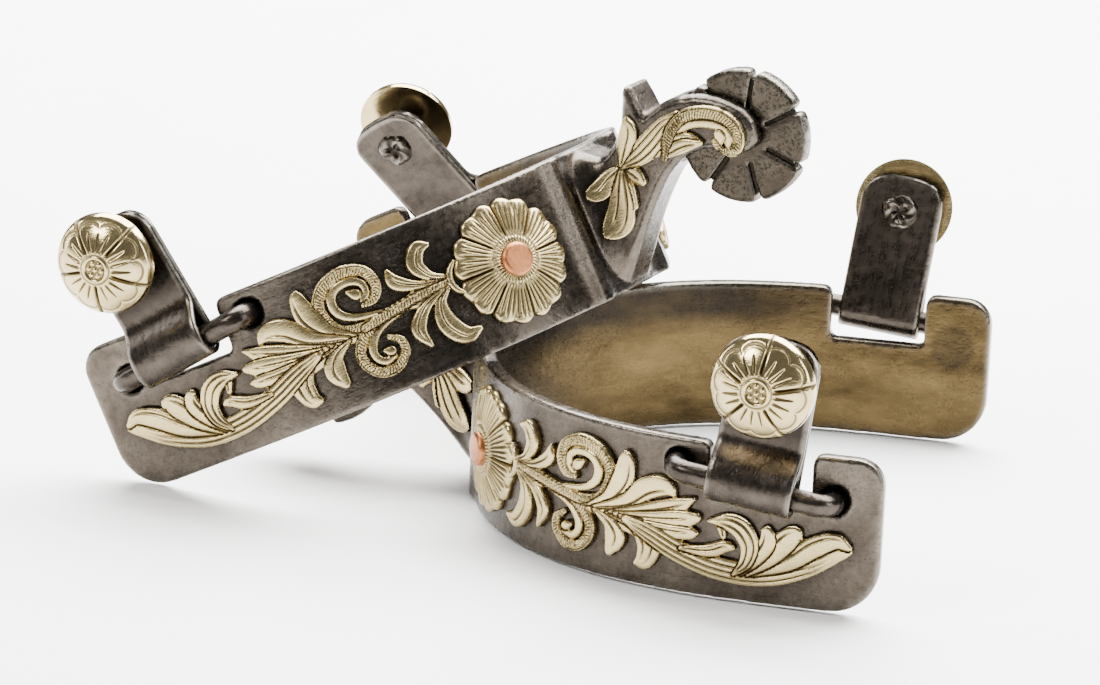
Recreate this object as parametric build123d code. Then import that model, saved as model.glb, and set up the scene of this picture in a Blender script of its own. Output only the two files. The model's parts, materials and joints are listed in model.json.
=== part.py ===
from build123d import *
import math
import os

# A pair of western show spurs. Millimetres.
# Each spur is drawn in its own frame: origin on the outer face of the heel, at the lower edge of the
# band, +X from the heel towards the toe, +Y to the spur's left, +Z up. The left-hand (+Y) half is drawn
# and mirrored. The right spur then stands level, and the left one leans on it.

# Heel band
BAND_HEIGHT = 25.4
BAND_THICKNESS = 2.6
# Plan of one branch, from the heel to the tip: tangent arcs as (radius of the outer face, turn)
BAND_ARCS = ((48.8, 74.5), (74.6, 12.2), (321.0, 4.5))
BAND_REACH = 76.6
TIP_LOWER_RADIUS = 8.0
TIP_UPPER_RADIUS = 4.0
NOTCH_FROM = 48.5
NOTCH_TO = 65.0
NOTCH_FLOOR = 16.4
NOTCH_CORNER = 1.0
RIDGE_AT = 10.8
RIDGE_RADIUS = 2.0
RIDGE_SINK = 1.1

# Hanger bar: a staple in two holes of the band, each given as (length along the band, height)
HEEL_HOLE = (71.2, 21.3)
TIP_HOLE = (96.6, 18.3)
BAR_RADIUS = 1.9
BAR_STANDOFF = 3.9
BAR_BEND = 2.4
BAR_FIT = 0.02

# Hanger: a strap folded double round the bar
HANGER_WIDTH = 14.0
STRAP_THICKNESS = 1.2
HANGER_RISE = 24.5
HANGER_CORNER = 4.0
HANGER_CLEARANCE = 0.07
BUTTON_RISE = 18.5
STRAP_BACK = -(BAR_RADIUS + HANGER_CLEARANCE + STRAP_THICKNESS)
STRAP_FRONT = STRAP_BACK + 2 * STRAP_THICKNESS
# How each hanger hangs: degrees swung outwards, and length slid along the bar towards the toe
HANGER_RESTS = {
    "right_outer": (0, 0.3),
    "right_inner": (8, 0.5),
    "left_outer": (4, 0.5),
    "left_inner": (-25, 0.4),
}

# Button and its rivet
BUTTON_RADIUS = 8.4
BUTTON_DOME = 4.0
BUTTON_RIM = 1.0
NECK_RADIUS = 2.3
NECK_LENGTH = 5.2
RIVET_RADIUS = 1.6
RIVET_TAIL_RADIUS = 2.8
RIVET_TAIL_HEIGHT = 0.7

# Shank, side view as (x, z)
SHANK_HALF = 4.65
SHANK_TOP = ((2.0, 23.6), (-0.6, 22.0), (-3.2, 20.9), (-6.5, 23.3), (-9.4, 26.2), (-11.2, 29.4))
GUARD_TIP = ((-11.2, 29.4), (-12.4, 31.6), (-14.0, 31.2))
GUARD_FOOT = (-14.2, 26.0)
SHANK_ARM = ((-14.2, 26.0), (-18.5, 27.0), (-23.3, 26.5), (-28.0, 24.3), (-31.4, 21.0), (-32.6, 18.0))
SHANK_END = ((-32.6, 18.0), (-31.6, 15.3), (-29.2, 14.2))
SHANK_UNDER = ((-29.2, 14.2), (-27.0, 14.7), (-23.9, 16.7), (-19.2, 17.4), (-15.1, 16.0),
               (-11.7, 13.6), (-7.5, 9.7), (-4.4, 6.2), (0.8, 0.5), (2.0, 0.2))
# Root of the shank, in plan: it widens in a hollow sweep towards the ridge on the band
ROOT_FLARE_FROM = -5.0
ROOT_FLARE_TO = 2.0
ROOT_FLARE_HALF = 8.4

# Rowel
ROWEL_CENTRE = (-28.3, 16.9)
ROWEL_RADIUS = 11.2
ROWEL_THICKNESS = 3.2
ROWEL_PETALS = 7
ROWEL_SLOT_WIDTH = 0.9
ROWEL_SLOT_FROM = 4.6
ROWEL_NOTCH_FROM = 9.2
ROWEL_NOTCH_HALF = 1.3
ROWEL_FIRST_SLOT = 4.1
ROWEL_PLAY = 0.4
ROWEL_CLEARANCE = 0.05
PIN_RADIUS = 1.6

# Overlays
OVERLAY_THICKNESS = 0.9
ROSETTE_AT = (27.0, 12.7)
ROSETTE_RADIUS = 10.4
ROSETTE_DOME = 2.2
ROSETTE_LOBES = 16
CENTRE_RADIUS = 2.8
CENTRE_HEIGHT = 0.8
# Leaves on the band: (length, height) of root and tip, and the leaf's width
BAND_LEAVES = (
    (38.0, 12.6, 56.0, 11.0, 3.4),
    (40.0, 13.0, 47.5, 21.5, 3.2),
    (43.0, 12.6, 52.0, 18.6, 3.0),
    (40.0, 11.4, 46.0, 3.4, 3.2),
    (43.5, 11.4, 50.5, 5.6, 3.0),
    (54.0, 11.6, 63.0, 21.4, 4.2),
    (56.0, 11.2, 70.4, 16.2, 4.6),
    (55.0, 9.6, 67.4, 3.6, 4.6),
    (55.0, 9.8, 60.4, 4.6, 3.6),
    (62.0, 9.8, 84.0, 5.6, 6.4),
    (74.0, 5.8, 76.2, 13.4, 4.2),
    (78.0, 5.4, 99.6, 10.8, 6.6),
)
# Scrolls on the band: (length, height) of the middle, and the radius
BAND_SCROLLS = ((52.6, 17.8, 4.6), (52.4, 6.0, 3.4))
# Leaves on the shank: (x, z) of root and tip, and the leaf's width
SHANK_LEAVES = (
    (-7.6, 16.6, -1.6, 15.6, 3.2),
    (-7.6, 16.6, -3.2, 7.4, 4.2),
    (-7.6, 16.6, -6.8, 11.0, 2.6),
    (-7.6, 16.6, -11.8, 17.0, 3.2),
    (-7.2, 16.6, -11.0, 24.8, 3.2),
    (-8.4, 17.8, -19.0, 24.6, 4.4),
    (-16.0, 22.8, -27.6, 23.2, 3.2),
    (-15.0, 20.4, -22.4, 21.0, 2.6),
)
SHANK_SCROLL = (-28.6, 19.4, 3.9)

# How the left spur leans on the right one, and the shift that centres the pair
LEFT_PLACE = (23.29, 10.07, 32.95)
LEFT_YAW = 168.4
LEFT_PITCH = 27.8
PAIR_SHIFT = (-5.985, -7.954, 0)


def on_contour(length):
    """Point of the band's outer face and heading from +Y, at a length measured round from the heel."""
    x, y, heading = 0.0, 0.0, 0.0
    for radius, turn in BAND_ARCS:
        swept = min(math.degrees(length / radius), turn)
        length -= math.radians(swept) * radius
        before = math.radians(heading)
        after = math.radians(heading + swept)
        x += radius * (math.cos(before) - math.cos(after))
        y += radius * (math.sin(after) - math.sin(before))
        heading += swept
    return x, y, heading


def face_plane(length, height):
    """Plane on the outer face: normal outwards, local x back towards the heel, local y up."""
    x, y, heading = on_contour(length)
    turn = math.radians(heading)
    back = (-math.sin(turn), -math.cos(turn), 0)
    outwards = (-math.cos(turn), math.sin(turn), 0)
    return Plane(origin=(x, y, height), x_dir=back, z_dir=outwards)


def contour_arcs(offset):
    """The outer line of one branch, moved outwards by offset, as a chain of tangent arcs."""
    at = (-offset, 0)
    heading = (0, 1)
    arcs = []
    for radius, turn in BAND_ARCS:
        arc = JernArc(at, heading, radius + offset, -turn)
        arcs.append(arc)
        at = arc @ 1
        heading = arc % 1
    return arcs


def wall(outer, inner):
    """The upright wall of one branch between two lines parallel to the outer face."""
    outside = contour_arcs(outer)
    inside = contour_arcs(inner)
    tip = Line(outside[-1] @ 1, inside[-1] @ 1)
    heel = Line(outside[0] @ 0, inside[0] @ 0)
    return extrude(make_face(outside + inside + [tip, heel]), BAND_HEIGHT)


def both_sides(solid):
    return solid + mirror(solid, about=Plane.XZ)


def branch_profile():
    """Side view of the band: rounded tips, and the notch that the hanger stands in."""
    middle = (BAND_REACH - 5) / 2
    outline = Pos(middle, BAND_HEIGHT / 2) * Rectangle(BAND_REACH + 5, BAND_HEIGHT)
    tip_corners = outline.vertices().group_by(Axis.X)[-1].sort_by(Axis.Y)
    outline = fillet(tip_corners[0], TIP_LOWER_RADIUS)
    outline = fillet(outline.vertices().sort_by(Axis.X)[-1], TIP_UPPER_RADIUS)
    notch_depth = BAND_HEIGHT - NOTCH_FLOOR
    notch = Pos((NOTCH_FROM + NOTCH_TO) / 2, BAND_HEIGHT) * Rectangle(NOTCH_TO - NOTCH_FROM, 2 * notch_depth)
    notch = fillet(notch.vertices(), NOTCH_CORNER)
    return extrude(Plane.XZ * (outline - notch), 60, both=True)


def bar_frame():
    """Plane whose x runs along the bar towards the heel, y upwards and z outwards, at the bar's axis."""
    ends = []
    for length, height in (HEEL_HOLE, TIP_HOLE):
        x, y, _ = on_contour(length)
        ends.append(Vector(x, y, height))
    along = (ends[0] - ends[1]).normalized()
    outwards = along.cross(Vector(0, 0, 1)).normalized()
    middle = (ends[0] + ends[1]) / 2 + outwards * BAR_STANDOFF
    return Plane(origin=middle, x_dir=along, z_dir=outwards), (ends[0] - ends[1]).length / 2


def bar_legs(radius):
    """The two straight legs of the staple, through the band."""
    place, half = bar_frame()
    depth = BAR_STANDOFF + BAND_THICKNESS + 0.6
    leg = Pos(0, 0, -depth / 2) * Cylinder(radius, depth)
    return place * (Pos(half, 0, 0) * leg + Pos(-half, 0, 0) * leg)


def hanger_bar():
    place, half = bar_frame()
    depth = -(BAR_STANDOFF + BAND_THICKNESS)
    route = FilletPolyline((half, 0, depth), (half, 0, 0), (-half, 0, 0), (-half, 0, depth), radius=BAR_BEND)
    section = Plane(origin=(half, 0, depth), z_dir=(0, 0, 1)) * Circle(BAR_RADIUS)
    return place * sweep(section, path=route)


def heel_band():
    """Both branches, with the ridges beside the shank and the holes for the hanger bars."""
    branch = wall(0, -BAND_THICKNESS)
    ridge_face = face_plane(RIDGE_AT, BAND_HEIGHT / 2)
    ridge = ridge_face * Pos(0, 0, -RIDGE_SINK) * Rot(90, 0, 0) * Cylinder(RIDGE_RADIUS, BAND_HEIGHT)
    inner_side = wall(-BAND_THICKNESS, -BAND_THICKNESS - 4)
    branch = (branch + ridge - inner_side) & branch_profile()
    return both_sides(branch - bar_legs(BAR_RADIUS + BAR_FIT))


def shank_outline():
    """Side view of the shank: root, chap guard, curved arm and rounded end."""
    front = Spline(*SHANK_TOP)
    guard_top = ThreePointArc(*GUARD_TIP)
    guard_back = Line(GUARD_TIP[-1], GUARD_FOOT)
    arm = Spline(*SHANK_ARM)
    end = ThreePointArc(*SHANK_END)
    under = Spline(*SHANK_UNDER)
    root = Line(SHANK_UNDER[-1], SHANK_TOP[0])
    return make_face([front, guard_top, guard_back, arm, end, under, root])


def shank_plan(extra):
    """Plan of one side of the shank, widened by extra: straight, then a hollow sweep to the band."""
    half = SHANK_HALF + extra
    wide = ROOT_FLARE_HALF + extra
    bend = ((ROOT_FLARE_FROM + ROOT_FLARE_TO) / 2 + 0.9, half + 0.9)
    sweep_out = ThreePointArc((ROOT_FLARE_FROM, half), bend, (ROOT_FLARE_TO, wide))
    back = -40
    sides = Polyline((ROOT_FLARE_TO, wide), (ROOT_FLARE_TO, 0), (back, 0), (back, half), (ROOT_FLARE_FROM, half))
    return extrude(make_face([sweep_out, sides]), 40)


def shank_block(extra):
    """The shank's solid, with the band and the ridge cut away from its root."""
    block = both_sides(shank_plan(extra)) & extrude(Plane.XZ * shank_outline(), 20, both=True)
    ridge_face = face_plane(RIDGE_AT, BAND_HEIGHT / 2)
    ridge = ridge_face * Pos(0, 0, -RIDGE_SINK) * Rot(90, 0, 0) * Cylinder(RIDGE_RADIUS, BAND_HEIGHT + 2)
    return block - both_sides(wall(0, -12) + ridge)


def across(radius, width):
    """A cylinder on the rowel's axis, centred on the spur's middle plane."""
    x, z = ROWEL_CENTRE
    return Pos(x, 0, z) * Rot(90, 0, 0) * Cylinder(radius, width)


def shank():
    """The shank, forked at its end for the rowel."""
    slot = across(ROWEL_RADIUS + 0.8, ROWEL_THICKNESS + 2 * ROWEL_PLAY)
    return shank_block(0) - slot - across(PIN_RADIUS + BAR_FIT, 20)


def rowel_pin():
    return across(PIN_RADIUS, 2 * SHANK_HALF)


def rowel():
    """A flat wheel of petals, parted by narrow slots that open into a V at the rim."""
    wheel = Circle(ROWEL_RADIUS) - Circle(PIN_RADIUS + ROWEL_CLEARANCE)
    slot_length = ROWEL_RADIUS - ROWEL_SLOT_FROM + 1
    slot = Pos(ROWEL_SLOT_FROM + slot_length / 2, 0) * Rectangle(slot_length, ROWEL_SLOT_WIDTH)
    notch_end = ROWEL_RADIUS + 0.5
    notch = make_face(Polyline((ROWEL_NOTCH_FROM, 0), (notch_end, ROWEL_NOTCH_HALF),
                               (notch_end, -ROWEL_NOTCH_HALF), (ROWEL_NOTCH_FROM, 0)))
    for petal in range(ROWEL_PETALS):
        turn = 180 - ROWEL_FIRST_SLOT - petal * 360 / ROWEL_PETALS
        wheel -= Rot(0, 0, turn) * (slot + notch)
    x, z = ROWEL_CENTRE
    return extrude(Plane.XZ * Pos(x, z) * wheel, ROWEL_THICKNESS / 2, both=True)


def hanger_place(rest):
    """The hanger's plane: the bar's own, swung outwards and slid along the bar towards the toe."""
    swing, slide = rest
    place, _ = bar_frame()
    return place * Rot(swing, 0, 0) * Pos(-slide, 0, 0)


def hanger(rest):
    """A strap looped round the bar: flat behind it, its two sheets together above, corners rounded."""
    bore = BAR_RADIUS + HANGER_CLEARANCE
    eye_radius = bore + STRAP_THICKNESS
    side = Plane.YZ * Circle(eye_radius)
    neck = Plane.YZ * make_face(Polyline((0, eye_radius), (7.6, STRAP_FRONT), (7.6, STRAP_BACK),
                                         (0, STRAP_BACK), (0, eye_radius)))
    eye = extrude(side, HANGER_WIDTH / 2, both=True) + extrude(neck, HANGER_WIDTH / 2, both=True)
    foot = 4.0
    sheet = Pos(0, (foot + HANGER_RISE) / 2) * Rectangle(HANGER_WIDTH, HANGER_RISE - foot)
    sheet = fillet(sheet.vertices().group_by(Axis.Y)[-1], HANGER_CORNER)
    strap = Pos(0, 0, (STRAP_FRONT + STRAP_BACK) / 2) * extrude(sheet, STRAP_THICKNESS, both=True)
    bar_hole = Rot(0, 90, 0) * Cylinder(bore, HANGER_WIDTH + 2)
    rivet_hole = Pos(0, BUTTON_RISE, 0) * Cylinder(RIVET_RADIUS + BAR_FIT, 20)
    return hanger_place(rest) * (eye + strap - bar_hole - rivet_hole)


def button(rest):
    """A domed disc with a flat underside and a bevelled lower rim."""
    height = BUTTON_DOME + BUTTON_RIM
    ball_radius = (BUTTON_RADIUS ** 2 + BUTTON_DOME ** 2) / (2 * BUTTON_DOME)
    disc = Pos(0, 0, height / 2) * Cylinder(BUTTON_RADIUS, height)
    disc = chamfer(disc.edges().group_by(Axis.Z)[0], 0.5)
    dome = disc & Pos(0, 0, height - ball_radius) * Sphere(ball_radius)
    return hanger_place(rest) * Pos(0, BUTTON_RISE, STRAP_FRONT + NECK_LENGTH) * dome


def button_rivet(rest):
    """The button's neck, the shaft through the strap, and its peened tail."""
    neck = Pos(0, 0, STRAP_FRONT + NECK_LENGTH / 2) * Cylinder(NECK_RADIUS, NECK_LENGTH)
    shaft = Pos(0, 0, (STRAP_FRONT + STRAP_BACK) / 2) * Cylinder(RIVET_RADIUS, 2 * STRAP_THICKNESS)
    tail = Pos(0, 0, STRAP_BACK - RIVET_TAIL_HEIGHT / 2) * Cylinder(RIVET_TAIL_RADIUS, RIVET_TAIL_HEIGHT)
    return hanger_place(rest) * Pos(0, BUTTON_RISE, 0) * (neck + shaft + tail)


def leaf(from_x, from_y, to_x, to_y, width):
    """A pointed leaf between two points: two arcs that bulge to the given width."""
    root = Vector(from_x, from_y)
    tip = Vector(to_x, to_y)
    middle = (root + tip) / 2
    side = Vector(from_y - to_y, to_x - from_x).normalized() * (width / 2)
    return make_face([ThreePointArc(root, middle + side, tip), ThreePointArc(tip, middle - side, root)])


def band_overlay():
    """Leaves and scrolls cut from sheet that follows the band's outer face."""
    reach = 4
    blanks = None
    for from_s, from_z, to_s, to_z, width in BAND_LEAVES:
        at_s = (from_s + to_s) / 2
        at_z = (from_z + to_z) / 2
        outline = leaf(at_s - from_s, from_z - at_z, at_s - to_s, to_z - at_z, width)
        blank = extrude(face_plane(at_s, at_z) * outline, reach, both=True)
        blanks = blank if blanks is None else blanks + blank
    for at_s, at_z, radius in BAND_SCROLLS:
        blanks += extrude(face_plane(at_s, at_z) * Circle(radius), reach, both=True)
    return blanks & wall(OVERLAY_THICKNESS, 0)


def shank_overlay():
    """Leaves and a scroll cut from sheet that follows the side of the shank."""
    skin = shank_block(OVERLAY_THICKNESS) - shank_block(0)
    outline = Pos(SHANK_SCROLL[0], SHANK_SCROLL[1]) * Circle(SHANK_SCROLL[2])
    for leaf_sizes in SHANK_LEAVES:
        outline += leaf(*leaf_sizes)
    return extrude(Plane.XZ * outline, -20) & skin


def rosette():
    """A domed disc with a scalloped edge, its back curved to fit the band."""
    lobe_radius = 2.1
    outline = Circle(ROSETTE_RADIUS - 1)
    outline += PolarLocations(ROSETTE_RADIUS - lobe_radius, ROSETTE_LOBES) * Circle(lobe_radius)
    ball_radius = (ROSETTE_RADIUS ** 2 + ROSETTE_DOME ** 2) / (2 * ROSETTE_DOME)
    ball = Pos(0, 0, ROSETTE_DOME + 0.3 - ball_radius) * Sphere(ball_radius)
    disc = extrude(outline, 4, both=True) & ball
    well = Pos(0, 0, ROSETTE_DOME + CENTRE_HEIGHT) * Cylinder(CENTRE_RADIUS, 2 * CENTRE_HEIGHT + 0.4)
    back = Pos(0, 0, -10.0) * Box(60, 60, 17.2)
    return face_plane(*ROSETTE_AT) * (disc - well - back) - wall(0, -4)


def rosette_centre():
    """The raised disc in the middle of the rosette."""
    foot = ROSETTE_DOME - 0.2
    disc = Pos(0, 0, foot + CENTRE_HEIGHT / 2) * Cylinder(CENTRE_RADIUS - 0.02, CENTRE_HEIGHT)
    disc = fillet(disc.edges().group_by(Axis.Z)[-1], 0.4)
    return face_plane(*ROSETTE_AT) * disc


MIDDLE_PARTS = {"heel_band": heel_band, "shank": shank, "rowel_pin": rowel_pin, "rowel": rowel}
HANGER_PARTS = {"hanger": hanger, "button": button, "button_rivet": button_rivet}
SIDE_PARTS = {
    "hanger_bar": hanger_bar,
    "band_overlay": band_overlay,
    "rosette": rosette,
    "rosette_centre": rosette_centre,
    "shank_overlay": shank_overlay,
}


def spur_parts(prefix, outer_is_left):
    """All parts of one spur in its own frame; outer_is_left tells which side faces away from the horse."""
    parts = {}
    for name, make in MIDDLE_PARTS.items():
        parts[name] = make()
    for face in ("outer", "inner"):
        is_left = (face == "outer") == outer_is_left
        solids = {name: make() for name, make in SIDE_PARTS.items()}
        for name, make in HANGER_PARTS.items():
            solids[name] = make(HANGER_RESTS[prefix + face])
        for name, solid in solids.items():
            parts[face + "_" + name] = solid if is_left else mirror(solid, about=Plane.XZ)
    return parts


def main():
    os.makedirs("parts", exist_ok=True)
    centre = Pos(*PAIR_SHIFT)
    lean = Pos(*LEFT_PLACE) * Rot(0, 0, LEFT_YAW) * Rot(0, LEFT_PITCH, 0)
    for prefix, place, outer_is_left in (("right_", centre, False), ("left_", centre * lean, True)):
        for name, solid in spur_parts(prefix, outer_is_left).items():
            export_step(place * solid, "parts/" + prefix + name + ".step")


main()
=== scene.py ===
import json
import math
import bpy
import numpy as np
from mathutils import Matrix, Vector
from mathutils.geometry import delaunay_2d_cdt

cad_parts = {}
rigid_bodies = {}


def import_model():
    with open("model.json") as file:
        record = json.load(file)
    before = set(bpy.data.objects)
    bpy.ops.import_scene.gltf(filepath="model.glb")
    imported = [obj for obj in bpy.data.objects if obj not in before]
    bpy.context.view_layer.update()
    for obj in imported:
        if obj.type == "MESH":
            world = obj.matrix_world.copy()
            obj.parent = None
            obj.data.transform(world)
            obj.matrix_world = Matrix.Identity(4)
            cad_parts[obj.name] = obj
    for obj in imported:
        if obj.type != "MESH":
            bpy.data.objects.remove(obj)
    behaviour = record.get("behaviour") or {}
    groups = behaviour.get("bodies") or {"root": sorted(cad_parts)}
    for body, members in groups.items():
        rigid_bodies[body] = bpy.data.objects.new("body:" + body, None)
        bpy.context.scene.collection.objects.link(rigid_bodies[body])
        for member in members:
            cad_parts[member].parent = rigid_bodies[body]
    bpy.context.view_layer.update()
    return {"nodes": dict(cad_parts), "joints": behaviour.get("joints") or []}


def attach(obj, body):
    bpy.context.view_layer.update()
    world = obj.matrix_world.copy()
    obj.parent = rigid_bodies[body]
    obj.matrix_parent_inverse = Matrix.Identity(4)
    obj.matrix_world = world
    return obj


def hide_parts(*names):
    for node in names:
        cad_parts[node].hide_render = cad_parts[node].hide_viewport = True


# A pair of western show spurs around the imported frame. Shapes are worked out in millimetres in one
# spur's own frame (origin at the heel's outer face and lower edge, +X to the toe, +Y left, +Z up), on
# the left-hand side, then mirrored and placed on each spur by its joints. The frame is in metres.

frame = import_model()
MM = 0.001

# ---------------------------------------------------------------- sizes, most of them the CAD model's
BAND_HEIGHT = 25.4
BAND_THICKNESS = 2.6
BAND_ARCS = ((48.8, 74.5), (74.6, 12.2), (321.0, 4.5))
BAND_LENGTH = 104.4
RIDGE_AT = 10.8
# Where the heel's round part ends for shading: its x, and the length round the band there
HEEL_END = 36
HEEL_END_LENGTH = 63.5
WELD_STAIN = (97.5, 16.8)
NOTCH = (76.4, 92.9)
NOTCH_FLOOR = 16.4
HEEL_HOLE = (71.2, 21.3)
TIP_HOLE = (96.6, 18.3)
BAR_RADIUS = 1.9
BAR_STANDOFF = 3.9
BAR_BEND = 2.4
HANGER_WIDTH = 14.0
HANGER_RISE = 24.5
HANGER_CORNER = 3.6
LEAF_GAP = 0.04
STRAP = 1.2
STRAP_BACK = 1.97
BUTTON_RISE = 18.5
BUTTON_RADIUS = 8.4
NECK_LENGTH = 5.2
ROWEL_CENTRE = (-28.3, 16.9)
ROWEL_RADIUS = 11.2
ROWEL_THICKNESS = 3.2
ROWEL_PETALS = 7
ROWEL_FIRST_SLOT = 4.1
SHANK_HALF = 4.65
SHANK_EDGE = 1.3
ROSETTE_AT = (27.0, 12.7)
ROSETTE_RADIUS = 10.4
HANGER_MIDDLE = (55.764, 19.8)
# How each hanger hangs: degrees swung outwards, and length slid along the bar towards the toe
HANGER_RESTS = {
    "right_outer": (0, 0.3),
    "right_inner": (8, 0.5),
    "left_outer": (4, 0.5),
    "left_inner": (-25, 0.4),
}

SHANK_TOP = ((2.0, 25.0), (-0.6, 24.1), (-3.6, 22.2), (-6.6, 23.3), (-9.4, 26.2), (-11.2, 29.4))
GUARD_TIP = ((-11.2, 29.4), (-12.4, 31.6), (-14.0, 31.2))
SHANK_ARM = ((-14.2, 26.0), (-18.5, 27.0), (-23.3, 26.5), (-28.0, 24.3), (-31.4, 21.0), (-32.6, 18.0))
SHANK_END = ((-32.6, 18.0), (-31.6, 15.3), (-29.2, 14.2))
SHANK_UNDER = ((-29.2, 14.2), (-27.0, 14.7), (-23.9, 16.7), (-19.2, 17.4), (-15.1, 16.0),
               (-11.7, 13.6), (-7.5, 9.7), (-4.4, 6.2), (0.8, 0.5), (2.0, 0.2))

# ---------------------------------------------------------------- fineness and relief of the visible pieces
BODY_VOXEL = 0.33
OVERLAY_GRID = 0.14
ROSETTE_SPOKES = 512
CENTRE_SPOKES = 72
CENTRE_RADIUS = 2.8
BUTTON_SPOKES = 300
BUTTON_SPIN = 20
SHEET = 1.05
EDGE_ROUND = 0.38
CROWN = 0.16
ENGRAVE = 0.3
# Styles of stroke: places of its engraved lines across it, their size, and cross cuts as (pitch, from, to)
STYLES = {
    "leaf": ((0.12,), 0.13, None),
    "broad": ((-0.42, 0.3), 0.13, None),
    "left_vein": ((0.45,), 0.13, None),
    "right_vein": ((-0.45,), 0.13, None),
    "plain": ((), 0.13, None),
    "fan": ((-0.55, -0.05, 0.45), 0.13, None),
    "rope": ((-0.72, 0.72), 0.09, (0.52, -0.62, 0.62)),
    "rim": ((-0.6,), 0.09, (0.52, -0.5, 0.95)),
    "rim_right": ((0.6,), 0.09, (0.52, -0.95, 0.5)),
}

# ---------------------------------------------------------------- curves and outlines


def contour(length):
    """Points of the band's outer face, and its outward normals, for lengths round it from the heel."""
    length = np.asarray(length, float)
    rest = np.abs(length)
    x = np.zeros_like(rest)
    y = np.zeros_like(rest)
    heading = np.zeros_like(rest)
    for number, (radius, turn) in enumerate(BAND_ARCS):
        limit = math.radians(turn) if number < len(BAND_ARCS) - 1 else 10.0
        swept = np.minimum(rest / radius, limit)
        x += radius * (np.cos(heading) - np.cos(heading + swept))
        y += radius * (np.sin(heading + swept) - np.sin(heading))
        heading = heading + swept
        rest = rest - swept * radius
    side = np.where(length < 0, -1.0, 1.0)
    return x, side * y, -np.cos(heading), side * np.sin(heading)


def on_band(points, out):
    """Points (length, height) of the band's outer face, moved out along its normals."""
    x, y, normal_x, normal_y = contour(points[:, 0])
    return np.stack([x + out * normal_x, y + out * normal_y, points[:, 1]], 1)


def band_point(place):
    """The point of the band's outer face at (length, height), and its outward normal."""
    x, y, normal_x, normal_y = contour(place[0])
    return np.array([x, y, place[1]]), np.array([normal_x, normal_y, 0])


def upright(points, y):
    """Points (x, z) set upright at y."""
    return np.stack([points[:, 0], y + 0 * points[:, 0], points[:, 1]], 1)


def curve_through(points, step):
    """A Catmull-Rom curve through rows of numbers, sampled about every step along its first two."""
    rows = np.asarray(points, float)
    ends = np.vstack([2 * rows[0] - rows[1], rows, 2 * rows[-1] - rows[-2]])
    samples = []
    for a, b, c, d in zip(ends[:-3], ends[1:-2], ends[2:-1], ends[3:]):
        count = max(2, int(np.hypot(*(c - b)[:2]) / step))
        t = np.linspace(0, 1, count, endpoint=False)[:, None]
        samples.append(0.5 * (2 * b + (c - a) * t + (2 * a - 5 * b + 4 * c - d) * t ** 2
                              + (3 * b - a - 3 * c + d) * t ** 3))
    samples.append(rows[-1:])
    return np.vstack(samples)


def rounded(corners, step):
    """A closed outline from corners (x, y, radius), each rounded by an arc, sampled every step."""
    corners = [np.asarray(c, float) for c in corners]
    outline = []
    for before, corner, after in zip(corners[-1:] + corners[:-1], corners, corners[1:] + corners[:1]):
        at, radius = corner[:2], corner[2]
        towards = (before[:2] - at) / np.linalg.norm(before[:2] - at)
        away = (after[:2] - at) / np.linalg.norm(after[:2] - at)
        half = math.acos(np.clip(towards @ away, -1, 1)) / 2
        cut = radius / math.tan(half)
        middle = at + (towards + away) / np.linalg.norm(towards + away) * radius / math.sin(half)
        first = at + towards * cut - middle
        last = at + away * cut - middle
        turn = math.pi - 2 * half
        sign = 1.0 if first[0] * last[1] - first[1] * last[0] > 0 else -1.0
        count = max(2, int(radius * turn / step) + 2)
        for angle in np.linspace(0, sign * turn, count):
            c, s = math.cos(angle), math.sin(angle)
            outline.append(middle + (first[0] * c - first[1] * s, first[0] * s + first[1] * c))
    return spaced(np.array(outline), step)


def spaced(loop, step):
    """The closed loop with extra points on its long straight runs."""
    points = []
    for a, b in zip(loop, np.roll(loop, -1, axis=0)):
        count = max(1, int(np.linalg.norm(b - a) / step))
        for share in range(count):
            points.append(a + (b - a) * share / count)
    return np.array(points)


def circle(centre, radius, count):
    """A ring of points."""
    turns = np.linspace(0, 2 * math.pi, count, endpoint=False)
    return np.stack([centre[0] + radius * np.cos(turns), centre[1] + radius * np.sin(turns)], 1)


def edge_distance(points, loop):
    """Distance inwards from a closed loop, negative outside it."""
    a = loop
    b = np.roll(loop, -1, axis=0)
    best = np.full(len(points), 1e9)
    crossings = np.zeros(len(points), int)
    for start, end in zip(a, b):
        run = end - start
        if run @ run < 1e-12:
            continue
        t = np.clip((points - start) @ run / (run @ run), 0, 1)
        gap = points - start - t[:, None] * run
        best = np.minimum(best, (gap ** 2).sum(1))
        straddles = (start[1] > points[:, 1]) != (end[1] > points[:, 1])
        if abs(run[1]) > 1e-12:
            at = start[0] + (points[:, 1] - start[1]) * run[0] / run[1]
            crossings += straddles & (points[:, 0] < at)
    return np.sqrt(best) * np.where(crossings % 2, 1.0, -1.0)


def rounding(depth, radius):
    """How far a face falls back at this depth inside an edge that is rounded by radius."""
    return radius * (1 - np.sqrt(1 - (1 - np.clip(depth / radius, 0, 1)) ** 2))


def line(value, middle, width):
    """A soft line's strength: one where value is middle, fading over width."""
    return np.exp(-((value - middle) / width) ** 2)


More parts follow.
